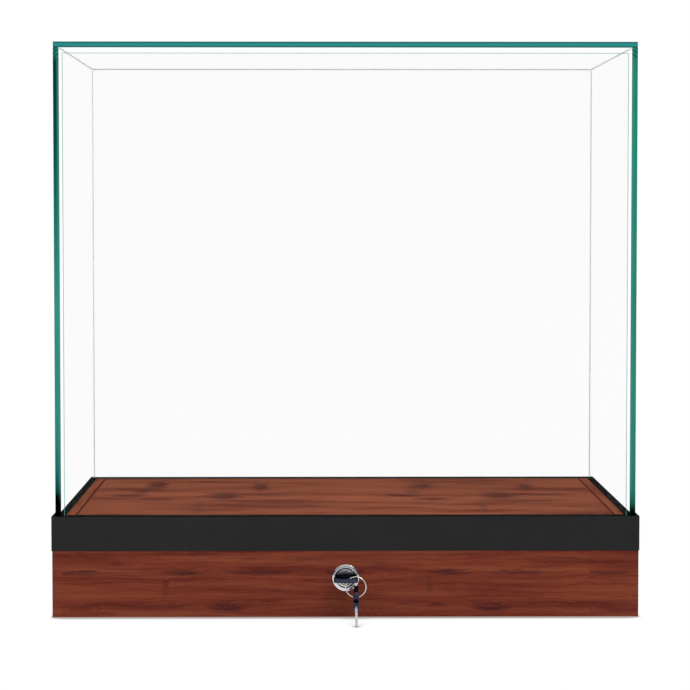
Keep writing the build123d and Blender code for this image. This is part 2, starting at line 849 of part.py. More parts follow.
def build_pull_out():
    """The front, the deck and what joins them, which pull out together."""
    save("deck_panel", deck_panel())
    save("front_panel", front_panel())
    save("front_rail", front_rail())
    save("front_rail_screws", placed(countersunk_screw(), front_rail_screws))
    save("gasket_front", front_gasket())
    save("glass_front", front_pane())
    save_pair("drawer_side", drawer_side())
    save("drawer_back_board", drawer_back_board())
    save_pair("front_bracket", front_bracket())
    screws = placed(pan_screw(), drawer_slide_screws + bracket_front_screws + bracket_side_screws)
    save("drawer_screws", both_sides(screws))


def build_lock_and_keys():
    """The cam lock, the key in it, and the spare key on the ring."""
    save("lock_housing", lock_housing())
    save("lock_nut", lock_nut())
    save("lock_plug", lock_plug())
    save("lock_cam", lock_cam())
    save("lock_cam_screw", lock_cam_screw())
    save("key_head", inserted_key(key_head()))
    save("key_blade", inserted_key(key_blade()))
    save("key_ring", key_ring())
    save("spare_key_head", hung_spare(key_head()))
    save("spare_key_blade", hung_spare(key_blade()))


os.makedirs("parts", exist_ok=True)
build_base()
build_fixed_glazing()
build_slides()
build_pull_out()
build_lock_and_keys()
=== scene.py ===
"""Finishes, counter, lights and camera for the countertop display case. Metres, +Z up, front towards -Y."""

from math import cos, pi, radians, sin

import bpy
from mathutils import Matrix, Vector


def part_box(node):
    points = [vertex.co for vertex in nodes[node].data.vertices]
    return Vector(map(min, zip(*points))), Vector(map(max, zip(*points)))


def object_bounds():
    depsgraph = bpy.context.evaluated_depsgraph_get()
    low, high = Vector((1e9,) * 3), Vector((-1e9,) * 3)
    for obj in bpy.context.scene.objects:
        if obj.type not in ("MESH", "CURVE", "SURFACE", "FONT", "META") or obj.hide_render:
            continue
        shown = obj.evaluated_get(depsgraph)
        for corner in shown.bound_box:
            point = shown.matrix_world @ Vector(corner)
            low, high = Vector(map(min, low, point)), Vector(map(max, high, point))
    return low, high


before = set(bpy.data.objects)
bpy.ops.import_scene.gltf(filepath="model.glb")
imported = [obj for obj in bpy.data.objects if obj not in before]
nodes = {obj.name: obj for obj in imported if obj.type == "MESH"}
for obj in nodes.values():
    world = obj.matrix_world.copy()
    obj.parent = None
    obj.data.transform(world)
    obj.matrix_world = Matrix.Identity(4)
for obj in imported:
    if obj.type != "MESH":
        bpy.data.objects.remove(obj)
cad_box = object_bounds()
mm = 0.001

# The camera, as found from the case's edges in the photograph
camera_place = Vector((-0.0285, -2.8471, 0.4180))
camera_pitch = radians(2.907)
camera_yaw = radians(-0.601)
camera_lens = 133.7
sensor_width = 36.0
camera_reach = 50.0

# The printed wood figure repeats after this length, as decor foil does, counted from repeat_start
front_repeat = 274.0 * mm
deck_repeat = 305.0 * mm
repeat_start = -20.0 * mm
# Noise in the wood figure: cell sizes along and across the grain, mm
waver_cell = (90, 26)
fray_cell = (13, 3)
band_cell = (210, 9)
strand_cell = (55, 1.8)
thread_cell = (60, 1.5)
fibre_cell = (16, 0.7)
pore_cell = (7, 0.7)
# Noise in the other finishes: cell sizes along X, Y and Z, mm
die_line_cell = (220, 220, 0.8)
anodised_patch = (60, 60, 60)
dusty_patch = (25, 25, 25)
plated_patch = (14, 14, 14)
wear_cell = (3, 3, 3)
glass_cloud = (40, 40, 60)
glass_line_patch = (30, 30, 30)
adhesive_wave = (18, 18, 18)
# How far the figure sways, marks fray and lines part round a mark, across the grain
sway_reach = 9 * mm
fray_reach = 6 * mm
mark_swell = 3 * mm
# How far out a mark fades and is at full depth, as shares of its half size
mark_fade = 1.25
mark_full = 0.3
# Year rings round a mark: their spacing and how far out they fade, as shares of the mark's half size
year_spacing = 0.55
year_fade = 3.2
# How wide the dark fold at a deck strip's inner edge is
fold_near = 0.8 * mm
fold_far = 1.8 * mm
# Clear float glass: how much it bends light, and the small even share of light that its faces mirror
glass_ior = 1.52
glass_gloss = 0.005
# Where the normal along a pane's thin axis is below this share, the surface is a cut edge
flat_face = 0.85
# A cut edge: how far above the black band its cloudy tone and its painted highlight line set in and are full
cloud_start = 20 * mm
cloud_full = 34 * mm
highlight_start = 14 * mm
highlight_full = 40 * mm
# How far out from a side pane's inner face the painted highlight line fades and is full
highlight_outer = 3.2 * mm
highlight_inner = 0.8 * mm
# Slanting dark bands at the top of a side pane's edge, a painted reflection of the roof's corner: pitch,
# slant, and how far below the top they start and are full
reflection_band_pitch = 4.6 * mm
reflection_band_slant = 0.8
reflection_bands_start = 13 * mm
reflection_bands_full = 11 * mm
# How far below the roof the adhesive's painted glow starts and is full
glow_start = 3 * mm
glow_full = 1 * mm
# The adhesive's fine relief, and the share of it that isn't clear
bead_relief = 0.1 * mm
bead_share = 0.8
# Light mirrored from the camera's side and from behind the case, and the soft light of the room
mirrored_front = 0.14
mirrored_back = 1.0
room_light = 0.62
# Where mirrored light turns from the front's to the back's, as a direction's share along +Y, and where the
# bright ceiling sets in and is full, as its share along +Z
back_from = -0.7
back_full = 0.1
ceiling_from = 0.3
ceiling_full = 0.55
# The counter: its width in metres, how far its contact shadow reaches, and where that ends beside the case
counter_width = 24.0
shade_reach = 22 * mm
shade_inside = 1 * mm
shade_beside = 3 * mm
# How open to the room a spot on the counter is where the shadow is full and where it ends
shade_full = 0.52
shade_gone = 0.82
# Lamps: name, place, aim, size, all in metres, and watts
lamps = (
    ("key_softbox", (1.1, -1.6, 1.9), (0, 0, 0.25), 1.0, 22.0),
    ("fill_softbox", (-1.4, -1.2, 1.3), (0, 0, 0.25), 1.2, 9.0),
)
# Dark marks in the figure: place along and across the grain, half length and half height, all in mm, then
# depth of tone and how strongly year rings show round the mark
front_marks = (
    (-275, 47, 28, 3.0, 0.9, 0.0),
    (-166, 47.5, 28, 4.2, 1.0, 0.1),
    (-187, 34, 4, 13, 0.5, 0.0),
    (-92, 47.5, 38, 3.4, 0.85, 0.0),
    (-122, 11, 24, 6, 1.0, 0.15),
    (-180, 13, 14, 3.2, 0.75, 0.2),
    (-214, 15, 10, 1.6, 0.6, 0.6),
    (-80, 18, 5, 3.2, 0.45, 0.6),
    (-238, 56, 8, 2.6, 0.5, 0.6),
    (-275, 9, 16, 4, 0.25, 0.5),
    (-170, 66, 74, 1.8, 0.5, 0.0),
    (-66, 61, 60, 1.8, 0.45, 0.0),
)
deck_marks = (
    (-214, 118, 15, 56, 1.0, 0.0),
    (-240, 6, 24, 18, 0.95, 0.0),
    (-226, 56, 10, 36, 0.7, 0.0),
    (-206, -30, 24, 15, 0.95, 0.0),
    (-132, 5, 22, 42, 1.0, 0.0),
    (-90, 16, 44, 14, 0.9, 0.0),
    (-105, -48, 56, 12, 0.8, 0.0),
    (-95, 92, 11, 44, 0.95, 0.0),
    (-156, -110, 4, 70, 0.6, 0.0),
    (-188, 150, 90, 10, 0.6, 0.0),
    (-30, -100, 80, 11, 0.55, 0.0),
)


def srgb(code):
    """A hex colour as the linear values that a shader takes."""
    parts = [int(code[i:i + 2], 16) / 255 for i in (0, 2, 4)]
    linear = [p / 12.92 if p <= 0.04045 else ((p + 0.055) / 1.055) ** 2.4 for p in parts]
    return (*linear, 1.0)


def add(tree, kind, settings=None, stops=(), output=0, **inputs):
    """Adds a node and gives one of its outputs, if it has any.

    Inputs are named by socket, or in0, in1 by number.
    """
    node = tree.nodes.new("ShaderNode" + kind)
    for name, value in (settings or {}).items():
        setattr(node, name, value)
    for number, (place, code) in enumerate(stops):
        elements = node.color_ramp.elements
        stop = elements[number] if number < len(elements) else elements.new(place)
        stop.position = place
        stop.color = srgb(code)
    for name, value in inputs.items():
        socket = node.inputs[int(name[2:]) if name[2:].isdigit() else name.replace("_", " ")]
        if isinstance(value, bpy.types.NodeSocket):
            tree.links.new(value, socket)
        else:
            socket.default_value = value
    return node.outputs[output] if len(node.outputs) else None


def new_material(name):
    """An empty material and its node tree."""
    material = bpy.data.materials.new(name)
    material.use_nodes = True
    material.node_tree.nodes.clear()
    return material, material.node_tree


def cells(tree, size, detail=2.0, place=None):
    """Noise whose cells are the given millimetres along X, Y and Z."""
    place = place or add(tree, "TexCoord", output="Object")
    scale = tuple(1 / (part * mm) for part in size)
    scaled = add(tree, "VectorMath", {"operation": "MULTIPLY"}, in0=place, in1=scale)
    return add(tree, "TexNoise", Vector=scaled, Scale=1.0, Detail=detail, Roughness=0.55)


def coated(tree, colour, relief, strength, depth, **sockets):
    """A Principled surface with a fine relief, depth mm deep."""
    normal = add(tree, "Bump", Strength=strength, Distance=depth * mm, Height=relief)
    surface = add(tree, "BsdfPrincipled", Base_Color=colour, Normal=normal, **sockets)
    add(tree, "OutputMaterial", Surface=surface)


def low_sheen(tree, colour, relief, strength, depth, share, roughness, tint="ffffff"):
    """A surface with a fine relief that stays deep in tone at a low angle: a matt body and an even gloss."""
    normal = add(tree, "Bump", Strength=strength, Distance=depth * mm, Height=relief)
    body = add(tree, "BsdfPrincipled", Base_Color=colour, Normal=normal, Roughness=0.6,
               Specular_IOR_Level=0.0)
    gloss = add(tree, "BsdfGlossy", Color=srgb(tint), Normal=normal, Roughness=roughness)
    add(tree, "OutputMaterial", Surface=add(tree, "MixShader", in0=share, in1=body, in2=gloss))


def paint(names, material):
    """Gives CAD nodes a finish."""
    for name in names:
        for slot in nodes[name].material_slots:
            slot.material = material


def wood_foil(name, grain, across, figure, marks, repeat, coarse, sheen, seam=None):
    """Printed cherry decor foil under satin lacquer: brown-red bands, dark mineral marks, fine pores.

    Coarse stretches the figure across the grain. Seam is how far out a strip's inner edge is, which shows as
    a dark line where the foil is folded over it.
    """
    material, tree = new_material(name)
    dark, middle, light, streak = figure
    along = add(tree, "SeparateXYZ", Vector=add(tree, "TexCoord", output="Object"), output=grain)
    over = add(tree, "SeparateXYZ", Vector=add(tree, "TexCoord", output="Object"), output=across)
    flat = add(tree, "CombineXYZ", X=along, Y=over, Z=0.0)
    sway = sway_reach * coarse
    waver = cells(tree, (waver_cell[0], waver_cell[1] * coarse, 1), place=flat)
    waver = add(tree, "Math", {"operation": "MULTIPLY_ADD"}, in0=waver, in1=sway, in2=-sway / 2)
    fray = fray_reach * coarse
    ragged = cells(tree, (fray_cell[0], fray_cell[1] * coarse, 1), detail=4.0, place=flat)
    ragged = add(tree, "Math", {"operation": "MULTIPLY_ADD"}, in0=ragged, in1=fray, in2=-fray / 2)

    wrapped = add(tree, "Math", {"operation": "WRAP"}, in0=along, in1=repeat_start,
                  in2=repeat_start - repeat)
    frayed = add(tree, "Math", {"operation": "ADD"}, in0=over, in1=ragged)
    mark_place = add(tree, "CombineXYZ", X=wrapped, Y=frayed, Z=0.0)
    marked = 0.0
    ringing = 0.0
    for mark_along, mark_across, half_length, half_height, depth, ringed in marks:
        centre = (mark_along * mm, mark_across * mm, 0)
        reach = (1 / (half_length * mm), 1 / (half_height * mm), 0)
        away = add(tree, "VectorMath", {"operation": "SUBTRACT"}, in0=mark_place, in1=centre)
        away = add(tree, "VectorMath", {"operation": "MULTIPLY"}, in0=away, in1=reach)
        away = add(tree, "VectorMath", {"operation": "LENGTH"}, output="Value", in0=away)
        spot = add(tree, "MapRange", {"interpolation_type": "SMOOTHSTEP"}, Value=away, From_Min=mark_fade,
                   From_Max=mark_full, To_Max=depth)
        marked = add(tree, "Math", {"operation": "MAXIMUM"}, in0=marked, in1=spot)
        if ringed:
            years = add(tree, "Math", {"operation": "MULTIPLY"}, in0=away, in1=2 * pi / year_spacing)
            years = add(tree, "Math", {"operation": "SINE"}, in0=years)
            within = add(tree, "MapRange", Value=away, From_Min=year_fade, From_Max=1.0, To_Max=ringed)
            years = add(tree, "Math", {"operation": "MULTIPLY"}, in0=years, in1=within)
            ringing = add(tree, "Math", {"operation": "MAXIMUM"}, in0=ringing, in1=years)

    swell = add(tree, "Math", {"operation": "MULTIPLY_ADD"}, in0=marked, in1=mark_swell, in2=waver)
    bent = add(tree, "Math", {"operation": "ADD"}, in0=over, in1=swell)
    line_place = add(tree, "CombineXYZ", X=along, Y=bent, Z=0.0)
    bands = cells(tree, (band_cell[0], band_cell[1] * coarse, 1), detail=6.0, place=line_place)
    threads = cells(tree, (*thread_cell, 1), detail=4.0, place=line_place)
    fibres = cells(tree, (*fibre_cell, 1), detail=3.0, place=line_place)
    pores = cells(tree, (*pore_cell, 1), detail=1.0, place=line_place)
    base = add(tree, "ValToRGB", stops=((0.34, dark), (0.48, middle), (0.66, light)), Fac=bands)
    share = add(tree, "MapRange", Value=threads, From_Min=0.5, From_Max=0.66, To_Max=0.6)
    lined = add(tree, "Mix", {"data_type": "RGBA"}, output=2, in0=share, in6=base, in7=srgb(dark))
    share = add(tree, "MapRange", Value=fibres, From_Min=0.48, From_Max=0.3, To_Max=0.6)
    lined = add(tree, "Mix", {"data_type": "RGBA"}, output=2, in0=share, in6=lined, in7=srgb(light))
    marked = add(tree, "Math", {"operation": "MAXIMUM"}, in0=marked, in1=ringing)
    strands = cells(tree, (strand_cell[0], strand_cell[1] * coarse, 1), detail=5.0, place=line_place)
    broken = add(tree, "MapRange", Value=strands, From_Min=0.36, From_Max=0.58, To_Min=0.25, To_Max=1.0)
    share = add(tree, "Math", {"operation": "MULTIPLY", "use_clamp": True}, in0=marked, in1=broken)
    stained = add(tree, "Mix", {"data_type": "RGBA"}, output=2, in0=share, in6=lined, in7=srgb(streak))
    share = add(tree, "MapRange", Value=pores, From_Min=0.62, From_Max=0.72, To_Max=0.3)
    pored = add(tree, "Mix", {"data_type": "RGBA"}, output=2, in0=share, in6=stained, in7=srgb(streak))
    if seam:
        outward = add(tree, "Math", {"operation": "ABSOLUTE"}, in0=over)
        share = add(tree, "MapRange", Value=outward, From_Min=seam + fold_far, From_Max=seam + fold_near)
        pored = add(tree, "Mix", {"data_type": "RGBA"}, output=2, in0=share, in6=pored, in7=srgb(seam_tone))
    gloss = add(tree, "MapRange", Value=threads, From_Min=0.3, From_Max=0.7, To_Min=0.4, To_Max=0.52)
    low_sheen(tree, pored, fibres, strength=0.02, depth=0.04, share=sheen, roughness=gloss)
    return material


front_figure = ("5a1d11", "753120", "86432b", "421718")
deck_figure = ("552418", "793f29", "8a4a31", "3a1916")
seam_tone = "561c12"
front_sheen = 0.01
deck_sheen = 0.006
paint(["front_panel", "base_back_panel"],
      wood_foil("cherry_foil_front", "X", "Z", front_figure, front_marks, front_repeat, coarse=1.0,
                sheen=front_sheen))
paint(["base_right_panel", "base_left_panel"],
      wood_foil("cherry_foil_side", "Y", "Z", front_figure, front_marks, front_repeat, coarse=1.0,
                sheen=front_sheen))
paint(["deck_panel"],
      wood_foil("cherry_foil_deck", "X", "Y", deck_figure, deck_marks, deck_repeat, coarse=5.0,
                sheen=deck_sheen))
strip_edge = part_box("deck_strip_right")[0].x
strip_foil = wood_foil("cherry_foil_deck_strip", "Y", "X", deck_figure, (), deck_repeat, coarse=1.0,
                       sheen=deck_sheen, seam=strip_edge)
paint(["deck_strip_right", "deck_strip_left"], strip_foil)


def plain_board(name, size):
    """Birch-faced board under thin lacquer: pale straight grain with a matt surface."""
    material, tree = new_material(name)
    threads = cells(tree, size, detail=4.0)
    colour = add(tree, "ValToRGB", stops=((0.3, "8c6646"), (0.5, "a57d58"), (0.7, "b18a63")), Fac=threads)
    coated(tree, colour, threads, strength=0.15, depth=0.1, Roughness=0.6, IOR=1.5)
    return material


paint(["base_bottom_panel", "drawer_back_board"], plain_board("birch_board", size=(90, 2.2, 2.2)))
paint(["drawer_side_right", "drawer_side_left"], plain_board("birch_board_side", size=(2.2, 90, 2.2)))


def anodised_black(name):
    """Satin black anodised aluminium extrusion: faint die lines, soft highlights, and painted shade that
    makes top faces blacker with less sheen.
    """
    material, tree = new_material(name)
    lines = cells(tree, die_line_cell)
    patches = cells(tree, anodised_patch)
    colour = add(tree, "ValToRGB", stops=((0.3, "1d1d1d"), (0.7, "222223")), Fac=patches)
    gloss = add(tree, "MapRange", Value=lines, From_Min=0.3, From_Max=0.7, To_Min=0.42, To_Max=0.55)
    # Painted shade: faces that point up are painted blacker and given a smaller share of gloss
    upward = add(tree, "SeparateXYZ", Vector=add(tree, "TexCoord", output="Normal"), output="Z")
    painted_dark_top = add(tree, "MapRange", Value=upward, From_Min=0.3, From_Max=0.8)
    colour = add(tree, "Mix", {"data_type": "RGBA"}, output=2, in0=painted_dark_top, in6=colour, in7=srgb("0a0a0b"))
    share = add(tree, "MapRange", Value=painted_dark_top, To_Min=0.012, To_Max=0.002)
    low_sheen(tree, colour, lines, strength=0.05, depth=0.05, share=share, roughness=gloss)
    return material


paint(["rail_right", "rail_left", "rail_back", "front_rail"], anodised_black("black_anodised_aluminium"))


def moulded_black(name, tones, size, relief, share, roughness, tint="ffffff"):
    """Black vinyl, rubber or plastic: a fine moulded grain and slightly dusty patches."""
    material, tree = new_material(name)
    patches = cells(tree, dusty_patch, detail=3.0)
    colour = add(tree, "ValToRGB", stops=((0.3, tones[0]), (0.7, tones[1])), Fac=patches)
    grain = cells(tree, (size, size, size), detail=3.0)
    low_sheen(tree, colour, grain, strength=relief, depth=0.1, share=share, roughness=roughness, tint=tint)
    return material


paint(["gasket_right", "gasket_left", "gasket_back", "gasket_front"],
      moulded_black("black_vinyl", ("0e0e0f", "151516"), size=1.2, relief=0.2, share=0.004, roughness=0.5))
paint(["front_buffers"],
      moulded_black("black_rubber", ("101010", "191919"), size=0.8, relief=0.2, share=0.01, roughness=0.6))
paint(["key_head", "spare_key_head"],
      moulded_black("moulded_black_abs", ("040408", "0b0c16"), size=0.5, relief=0.1, share=0.1,
                    roughness=0.2, tint="a9b0d4"))


def plated(name, tones, roughness, size, relief):
    """Plated or polished metal: fine wear lines, and reflections that change tone a little."""
    material, tree = new_material(name)
    lines = cells(tree, size)
    patches = cells(tree, plated_patch, detail=3.0)
    colour = add(tree, "ValToRGB", stops=((0.3, tones[0]), (0.7, tones[1])), Fac=patches)
    gloss = add(tree, "MapRange", Value=lines, From_Min=0.3, From_Max=0.7, To_Min=roughness * 0.7,
                To_Max=roughness * 1.3)
    coated(tree, colour, lines, strength=relief, depth=0.05, Roughness=gloss, Metallic=1.0)
    return material


paint(["keeper_bracket", "keeper_screws", "rail_screws", "front_rail_screws", "slide_case_screws",
       "slide_outer_right", "slide_outer_left", "slide_middle_right", "slide_middle_left",
       "slide_inner_right", "slide_inner_left", "front_bracket_right", "front_bracket_left",
       "drawer_screws", "lock_nut", "lock_cam", "lock_cam_screw"],
      plated("bright_zinc_plated_steel", ("a9abad", "c4c6c9"), roughness=0.28, size=(0.6, 30, 0.6),
             relief=0.08))
paint(["ball_cage_outer_right", "ball_cage_outer_left", "ball_cage_inner_right", "ball_cage_inner_left"],
      plated("polished_bearing_steel", ("b4b6ba", "cdd0d4"), roughness=0.14, size=(1.5, 1.5, 1.5),
             relief=0.08))
paint(["key_ring"],
      plated("bright_nickel_wire", ("d8d4d0", "efe9e4"), roughness=0.12, size=(2, 2, 2), relief=0.02))


# The painted reflection and shade on the lock's face, black just above the axis and grey to bright higher
# up:
# the radii where it is full and gone, the heights above the axis where its tone runs from low to high, how
# softly it sets in at the axis, and its top tone
painted_reflection_edge = 11.6 * mm
painted_reflection_fade = 12.2 * mm
painted_reflection_low = 2 * mm
painted_reflection_high = 10 * mm
painted_reflection_blend = 3 * mm
painted_reflection_top = "d6d6da"
# How deep the fine rings turned on the lock's face are, mm
ring_depth = 0.12


def turned_chrome(name, tones, pitch, roughness):
    """Chrome-plated turned face: fine rings round the lock's axis, and a painted reflection and shade over
    its upper half, dark above the key head and grey to bright higher up.

    The tones are the painted reflection's and the bright plate's two. Pitch is the rings' spacing in mm.
    """
    material, tree = new_material(name)
    bezel_low, bezel_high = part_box("lock_housing")
    axis_height = (bezel_low.z + bezel_high.z) / 2
    place = add(tree, "TexCoord", output="Object")
    radial = add(tree, "VectorMath", {"operation": "MULTIPLY_ADD"}, in0=place, in1=(1, 0, 1),
                 in2=(0, 0, -axis_height))
    radius = add(tree, "VectorMath", {"operation": "LENGTH"}, output="Value", in0=radial)
    turns = add(tree, "Math", {"operation": "MULTIPLY"}, in0=radius, in1=2 * pi / (pitch * mm))
    rings = add(tree, "Math", {"operation": "SINE"}, in0=turns)
    height = add(tree, "SeparateXYZ", Vector=radial, output="Z")
    # Painted reflection and shade: black just above the axis over the key head, grey to bright towards the
    # top
    above = add(tree, "MapRange", Value=height, From_Min=-painted_reflection_blend, From_Max=painted_reflection_blend)
    level = add(tree, "MapRange", Value=height, From_Min=painted_reflection_low, From_Max=painted_reflection_high)
    painted_reflection_tone = add(tree, "ValToRGB", stops=((0.1, "0c0c0d"), (0.45, tones[0]), (0.8, painted_reflection_top)), Fac=level)
    on_face = add(tree, "MapRange", Value=radius, From_Min=painted_reflection_fade, From_Max=painted_reflection_edge)
    painted_reflection_share = add(tree, "Math", {"operation": "MULTIPLY"}, in0=above, in1=on_face)
    wear = cells(tree, wear_cell, detail=3.0)
    bright = add(tree, "ValToRGB", stops=((0.3, tones[1]), (0.7, tones[2])), Fac=wear)
    colour = add(tree, "Mix", {"data_type": "RGBA"}, output=2, in0=painted_reflection_share, in6=bright, in7=painted_reflection_tone)
    coated(tree, colour, rings, strength=0.5, depth=ring_depth, Roughness=roughness, Metallic=1.0)
    return material


paint(["lock_housing"],
      turned_chrome("turned_chrome_plate", ("9a9a9e", "c9c9cc", "dedee0"), pitch=2.6, roughness=0.1))
paint(["lock_plug"],
      turned_chrome("turned_nickel_plate", ("a4a4a8", "b4b3b1", "cbcac7"), pitch=1.5, roughness=0.2))
paint(["key_blade", "spare_key_blade"],
      plated("nickel_plated_brass", ("b3b1ab", "c7c5c0"), roughness=0.22, size=(0.4, 6, 6), relief=0.08))


def finish_pane(tree, thin_axis, clear, edge, inside):
    """Sends a pane to the surface: faces that bend light and let lamps through, and cut edges.

    A cut edge that light meets from inside the glass is passed, tinted with the colour inside.
    """
    facing = add(tree, "SeparateXYZ", Vector=add(tree, "TexCoord", output="Normal"), output=thin_axis)
    facing = add(tree, "Math", {"operation": "ABSOLUTE"}, in0=facing)
    on_edge = add(tree, "Math", {"operation": "LESS_THAN"}, in0=facing, in1=flat_face)
    bent = add(tree, "BsdfRefraction", Color=srgb(clear), Roughness=0.0, IOR=glass_ior)
    gloss = add(tree, "BsdfGlossy", Color=srgb("ffffff"), Roughness=0.0)
    face = add(tree, "MixShader", in0=glass_gloss, in1=bent, in2=gloss)
    lamp_way = add(tree, "BsdfTransparent", Color=srgb("fafdfc"))
    face = add(tree, "MixShader", in0=add(tree, "LightPath", output="Is Shadow Ray"), in1=face, in2=lamp_way)
    through = add(tree, "BsdfTransparent", Color=inside)
    edge = add(tree, "MixShader", in0=add(tree, "NewGeometry", output="Backfacing"), in1=edge, in2=through)
    add(tree, "OutputMaterial", Surface=add(tree, "MixShader", in0=on_edge, in1=face, in2=edge))


def float_glass(name, thin_axis, edge_from, edge_to, stops, inner=None):
    """Float glass with ground and polished edges: clear faces that bend light, green-black cut edges.

    The edge's tone, the glass's green with painted shade near the black band and painted light and shade
    further up, runs upwards from one height to another, in metres. Inner is how far out a side pane's inner
    face is: a painted highlight lightens its cut edge there, and painted dark reflection bands cross it at
    the top.
    """
    material, tree = new_material(name)
    height = add(tree, "SeparateXYZ", Vector=add(tree, "TexCoord", output="Object"), output="Z")
    level = add(tree, "MapRange", Value=height, From_Min=edge_from, From_Max=edge_to)
    # The edge's tone: the glass's green, with painted shade near the black band and painted light and shade
    # up the pane
    tone = add(tree, "ValToRGB", stops=stops, Fac=level)
    cloud = cells(tree, glass_cloud)
    share = add(tree, "MapRange", Value=cloud, From_Min=0.35, From_Max=0.65, To_Max=0.15)
    clear_of_band = add(tree, "MapRange", Value=height, From_Min=edge_from + cloud_start,
                        From_Max=edge_from + cloud_full)
    share = add(tree, "Math", {"operation": "MULTIPLY"}, in0=share, in1=clear_of_band)
    tone = add(tree, "Mix", {"data_type": "RGBA"}, output=2, in0=share, in6=tone, in7=srgb("0a5a54"))
    if inner:
        side = add(tree, "SeparateXYZ", Vector=add(tree, "TexCoord", output="Object"), output="X")
        side = add(tree, "Math", {"operation": "ABSOLUTE"}, in0=side)
        # Painted highlight: a lighter line along the side pane's inner face, above the band
        painted_highlight = add(tree, "MapRange", Value=side, From_Min=inner + highlight_outer, From_Max=inner + highlight_inner,
                   To_Max=0.7)
        lit = add(tree, "MapRange", Value=height, From_Min=edge_from + highlight_start,
                  From_Max=edge_from + highlight_full)
        painted_highlight = add(tree, "Math", {"operation": "MULTIPLY"}, in0=painted_highlight, in1=lit)
        tone = add(tree, "Mix", {"data_type": "RGBA"}, output=2, in0=painted_highlight, in6=tone, in7=srgb("3d8f87"))
        # Painted reflection: slanting dark bands near the top of the side pane's edge
        slope = add(tree, "Math", {"operation": "MULTIPLY_ADD"}, in0=side, in1=reflection_band_slant, in2=height)
        painted_reflection_bands = add(tree, "Math", {"operation": "MULTIPLY"}, in0=slope, in1=2 * pi / reflection_band_pitch)
        painted_reflection_bands = add(tree, "Math", {"operation": "SINE"}, in0=painted_reflection_bands)
        painted_reflection_bands = add(tree, "MapRange", Value=painted_reflection_bands, From_Min=0.0, From_Max=0.8, To_Max=0.75)
        upper = add(tree, "MapRange", Value=height, From_Min=edge_to - reflection_bands_start,
                    From_Max=edge_to - reflection_bands_full)
        painted_reflection_bands = add(tree, "Math", {"operation": "MULTIPLY"}, in0=painted_reflection_bands, in1=upper)
        tone = add(tree, "Mix", {"data_type": "RGBA"}, output=2, in0=painted_reflection_bands, in6=tone, in7=srgb("053f38"))
    edge = add(tree, "BsdfPrincipled", Base_Color=tone, Roughness=0.3, Specular_IOR_Level=0.0)
    finish_pane(tree, thin_axis, "ffffff", edge, srgb("dde8e5"))
    return material


def pale_glass(name, clear, line):
    """Float glass with polished edges that show as thin pale lines: faces that bend light, tinted edges."""
    material, tree = new_material(name)
    patches = cells(tree, glass_line_patch)
    edge_tone = add(tree, "ValToRGB", stops=((0.3, line[0]), (0.7, line[1])), Fac=patches)
    edge = add(tree, "BsdfPrincipled", Base_Color=srgb("5fa396"), Roughness=0.3, Specular_IOR_Level=0.0)
    finish_pane(tree, "Y", clear, edge, edge_tone)
    return material


band_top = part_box("rail_left")[1].z
side_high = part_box("glass_left")[1]
roof_low, roof_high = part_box("glass_top")
# Tones up the cut edges, the glass's green with painted shade near the black band and painted light and
# shade
# further up: share of the way from the black band to the pane's top, and colour
left_edge_tone_and_shade = ((0.0, "010101"), (0.042, "010303"), (0.054, "07403c"), (0.095, "1c6a62"), (0.2, "2f8a79"),
              (0.45, "319180"), (0.66, "166b5e"), (0.8, "05483f"), (0.972, "01302b"), (0.98, "106a61"))
right_edge_tone_and_shade = ((0.0, "010202"), (0.012, "031310"), (0.03, "1e5f52"), (0.06, "2c7867"), (0.2, "35856f"),
               (0.6, "25856f"), (0.93, "23806c"), (1.0, "1e766c"))
roof_edge_tone_and_shade = ((0.0, "0f5853"), (0.3, "2a8480"), (0.6, "2f8c88"), (0.85, "1c6a68"), (1.0, "12595a"))
side_inner = -side_high.x
paint(["glass_left"],
      float_glass("float_glass_left", "X", band_top, side_high.z, left_edge_tone_and_shade, side_inner))
paint(["glass_right"],
      float_glass("float_glass_right", "X", band_top, side_high.z, right_edge_tone_and_shade, side_inner))
paint(["glass_top"], float_glass("float_glass_top", "Z", roof_low.z, roof_high.z, roof_edge_tone_and_shade))
paint(["glass_back"], pale_glass("float_glass_back", "ffffff", ("dfe8e6", "e6edeb")))
paint(["glass_front"], pale_glass("float_glass_front", "fdfdfd", ("d6dddd", "dde3e3")))


def cured_adhesive(name, glow):
    """Clear light-cured adhesive: a thin pale green-grey line, with a painted glow under the roof that
    stands in for light carried in the panes.
    """
    material, tree = new_material(name)
    wave = cells(tree, adhesive_wave)
    colour = add(tree, "ValToRGB", stops=((0.3, "dde7e4"), (0.7, "e5edea")), Fac=wave)
    normal = add(tree, "Bump", Strength=0.2, Distance=bead_relief, Height=wave)
    height = add(tree, "SeparateXYZ", Vector=add(tree, "TexCoord", output="Object"), output="Z")
    # Painted glow: the adhesive emits near the roof, standing in for light carried through the glass
    painted_glow = add(tree, "MapRange", Value=height, From_Min=roof_low.z - glow_start,
                  From_Max=roof_low.z - glow_full, To_Max=glow)
    bead = add(tree, "BsdfPrincipled", Base_Color=colour, Normal=normal, Roughness=0.3,
               Specular_IOR_Level=0.0, Emission_Color=colour, Emission_Strength=painted_glow)
    clear = add(tree, "BsdfTransparent", Color=srgb("ffffff"))
    add(tree, "OutputMaterial", Surface=add(tree, "MixShader", in0=bead_share, in1=clear, in2=bead))
    return material


paint(["glass_bond_right", "glass_bond_left"], cured_adhesive("clear_adhesive_side", glow=0.25))
paint(["glass_bond_back"], cured_adhesive("clear_adhesive_back", glow=0.05))


